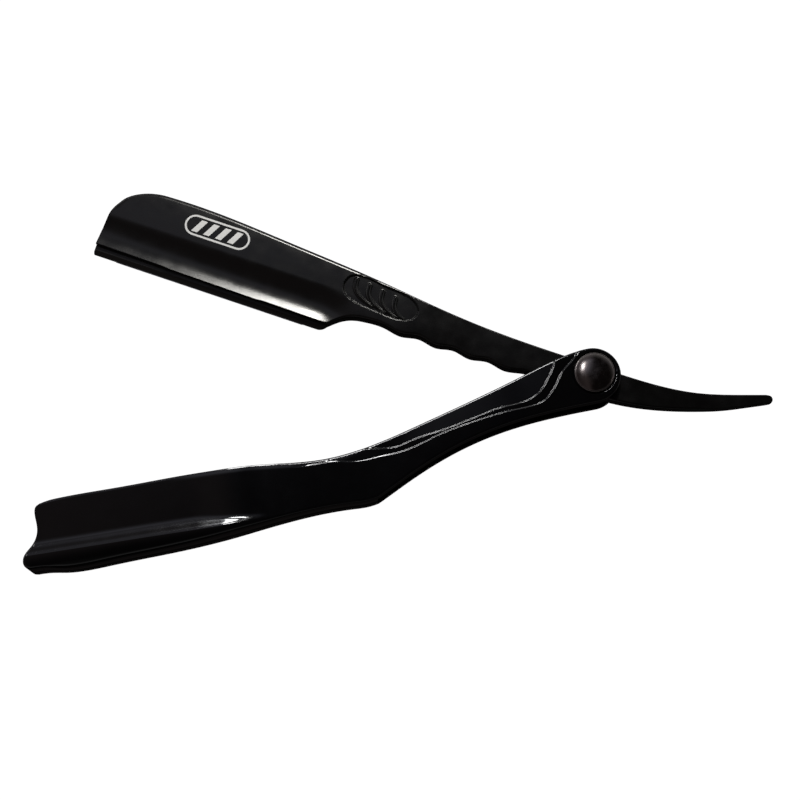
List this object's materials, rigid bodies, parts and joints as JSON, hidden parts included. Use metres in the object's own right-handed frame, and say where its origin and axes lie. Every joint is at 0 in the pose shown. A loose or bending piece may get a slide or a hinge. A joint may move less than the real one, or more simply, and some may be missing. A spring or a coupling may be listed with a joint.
{
  "type": "straight razor",
  "caption": "Folding barber's razor for replaceable blades: coated arm with a curved tail on a domed pivot in a glossy sheath handle, blade carrier sliding out of the head.",
  "frame": {"origin": "on the pivot's axis, at the flat of the rear rivet head that the razor lies on", "axes": "+X from the handle past the pivot, +Y from the handle towards the opened arm's side, +Z out of the front face"},
  "size_m": [0.1632, 0.079, 0.0118],
  "materials": {
    "handle_gloss": "high gloss moulded black",
    "arm_coating": "satin black coating over metal",
    "carrier_coating": "satin black coating over spring steel",
    "dark_chrome": "polished smoky chrome",
    "plain_steel": "plain rolled steel",
    "blade_steel": "ground stainless strip"
  },
  "bodies": {
    "handle": {"handle_front_scale": "handle_gloss", "handle_back_scale": "handle_gloss", "scale_pins": "plain_steel", "pivot_rivet_front": "dark_chrome", "pivot_rivet_back": "dark_chrome", "pivot_washer": "plain_steel", "pivot_spring_washer": "plain_steel"},
    "arm": {"blade_arm": "arm_coating", "carrier_spring": "plain_steel"},
    "carrier": {"blade_carrier": "carrier_coating", "blade_pins": "plain_steel", "razor_blade": "blade_steel"}
  },
  "joints": [
    {"name": "arm_pivot", "type": "hinge", "parent": "handle", "child": "arm", "pos_m": [0, 0, 0.0059], "axis": [0, 0, -1], "range_deg": [-33, 304]},
    {"name": "carrier_slide", "type": "slide", "parent": "arm", "child": "carrier", "axis": [-0.866, 0.5, 0], "range_m": [0, 0.052]}
  ]
}
